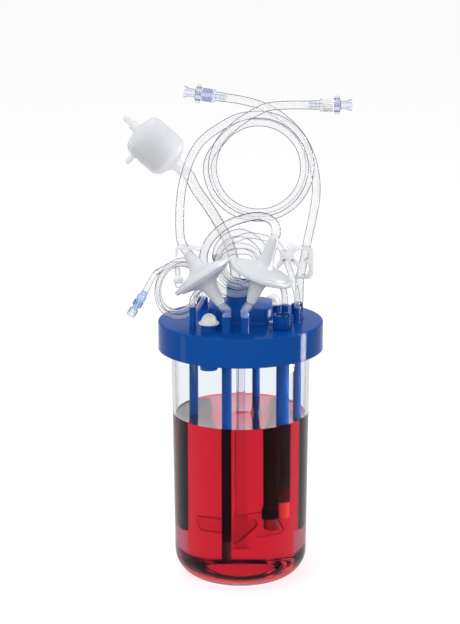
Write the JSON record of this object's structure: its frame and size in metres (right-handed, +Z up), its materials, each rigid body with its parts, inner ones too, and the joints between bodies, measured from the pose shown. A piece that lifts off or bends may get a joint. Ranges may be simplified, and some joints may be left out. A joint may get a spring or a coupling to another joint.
{
  "type": "bench bioreactor",
  "caption": "Clear stirred-tank vessel of red medium under a blue head plate with a magnetic drive, dip tubes, disc filters and coils of clear tubing.",
  "frame": {"origin": "on the bench, where the vessel's axis meets the flat of its foot", "axes": "+Z up along the vessel and its shaft, +X to the right and -Y towards the side with the two disc filters"},
  "size_m": [0.1717, 0.1324, 0.3831],
  "materials": {
    "clear_plastic": "clear moulded polycarbonate",
    "culture_medium": "clear red liquid",
    "blue_plastic": "glossy moulded blue plastic",
    "white_plastic": "satin warm white plastic",
    "filter_plastic": "satin translucent white plastic",
    "clear_tubing": "clear silicone",
    "tinted_plastic": "clear plastic with a pale lilac tint",
    "valve_plastic": "clear blue plastic",
    "sintered": "porous sintered plastic",
    "steel": "satin stainless steel",
    "dark_red": "satin dark red plastic",
    "sensor_glass": "orange glass",
    "rotor_plastic": "dark plastic with magnets moulded in",
    "seal_rubber": "dark rubber"
  },
  "bodies": {
    "vessel_assembly": {"vessel": "clear_plastic", "culture_medium": "culture_medium", "head_plate": "blue_plastic", "sampling_dip_tube": "blue_plastic", "sparge_dip_tube": "blue_plastic", "harvest_dip_tube": "blue_plastic", "addition_dip_tube": "clear_plastic", "sparge_frit": "sintered", "thermowell": "blue_plastic", "thermowell_tip": "steel", "sensor_body": "blue_plastic", "sensor_collar": "dark_red", "sensor_tip": "sensor_glass", "sensor_seal": "seal_rubber", "front_stopper": "white_plastic", "rear_stopper": "white_plastic", "shaft_bush": "white_plastic", "thrust_washer": "white_plastic", "gas_filter_a": "filter_plastic", "gas_filter_b": "filter_plastic", "filter_sleeve_a": "clear_tubing", "filter_sleeve_b": "clear_tubing", "exhaust_filter": "filter_plastic", "gas_line_a_coil": "clear_tubing", "centre_coil": "clear_tubing", "sampling_line_coil": "clear_tubing", "gas_line_a_rise": "clear_tubing", "gas_line_a_end": "clear_tubing", "feed_line": "clear_tubing", "gas_line_b_loop": "clear_tubing", "gas_line_b_end": "clear_tubing", "harvest_line": "clear_tubing", "recycle_line": "clear_tubing", "sampling_line_start": "clear_tubing", "sampling_line_end": "clear_tubing", "exhaust_line": "clear_tubing", "gas_connector_a_body": "tinted_plastic", "feed_connector_body": "tinted_plastic", "gas_connector_b_body": "tinted_plastic", "sampling_valve_body": "valve_plastic", "sampling_valve_cap": "tinted_plastic", "branch_stub": "clear_tubing", "branch_cap": "tinted_plastic", "branch_plug": "white_plastic", "feed_clamp": "white_plastic", "harvest_clamp": "white_plastic", "gas_clamp": "white_plastic"},
    "impeller_drive": {"drive_shaft": "clear_plastic", "magnet_rotor": "rotor_plastic", "impeller": "clear_plastic"},
    "sensor_cap": {"sensor_screw_cap": "blue_plastic"},
    "gas_ring_a": {"gas_connector_a_lock_ring": "white_plastic"},
    "feed_ring": {"feed_connector_lock_ring": "tinted_plastic"},
    "gas_ring_b": {"gas_connector_b_lock_ring": "white_plastic"}
  },
  "joints": [
    {"name": "impeller_spin", "type": "hinge", "parent": "vessel_assembly", "child": "impeller_drive", "pos_m": [0, 0, 0.11], "axis": [0, 0, 1], "continuous": true},
    {"name": "sensor_cap_turn", "type": "hinge", "parent": "vessel_assembly", "child": "sensor_cap", "pos_m": [0.03155, -0.02891, 0.209], "axis": [0, 0, 1], "continuous": true},
    {"name": "gas_ring_a_spin", "type": "hinge", "parent": "vessel_assembly", "child": "gas_ring_a", "pos_m": [0.0586, -0.008, 0.3692], "axis": [1, 0, 0.001], "continuous": true},
    {"name": "feed_ring_spin", "type": "hinge", "parent": "vessel_assembly", "child": "feed_ring", "pos_m": [-0.0186, 0.004, 0.3742], "axis": [-0.9893, 0, 0.146], "continuous": true},
    {"name": "gas_ring_b_spin", "type": "hinge", "parent": "vessel_assembly", "child": "gas_ring_b", "pos_m": [-0.0196, 0.0092, 0.2424], "axis": [-0.721, 0.4206, -0.5507], "continuous": true}
  ]
}
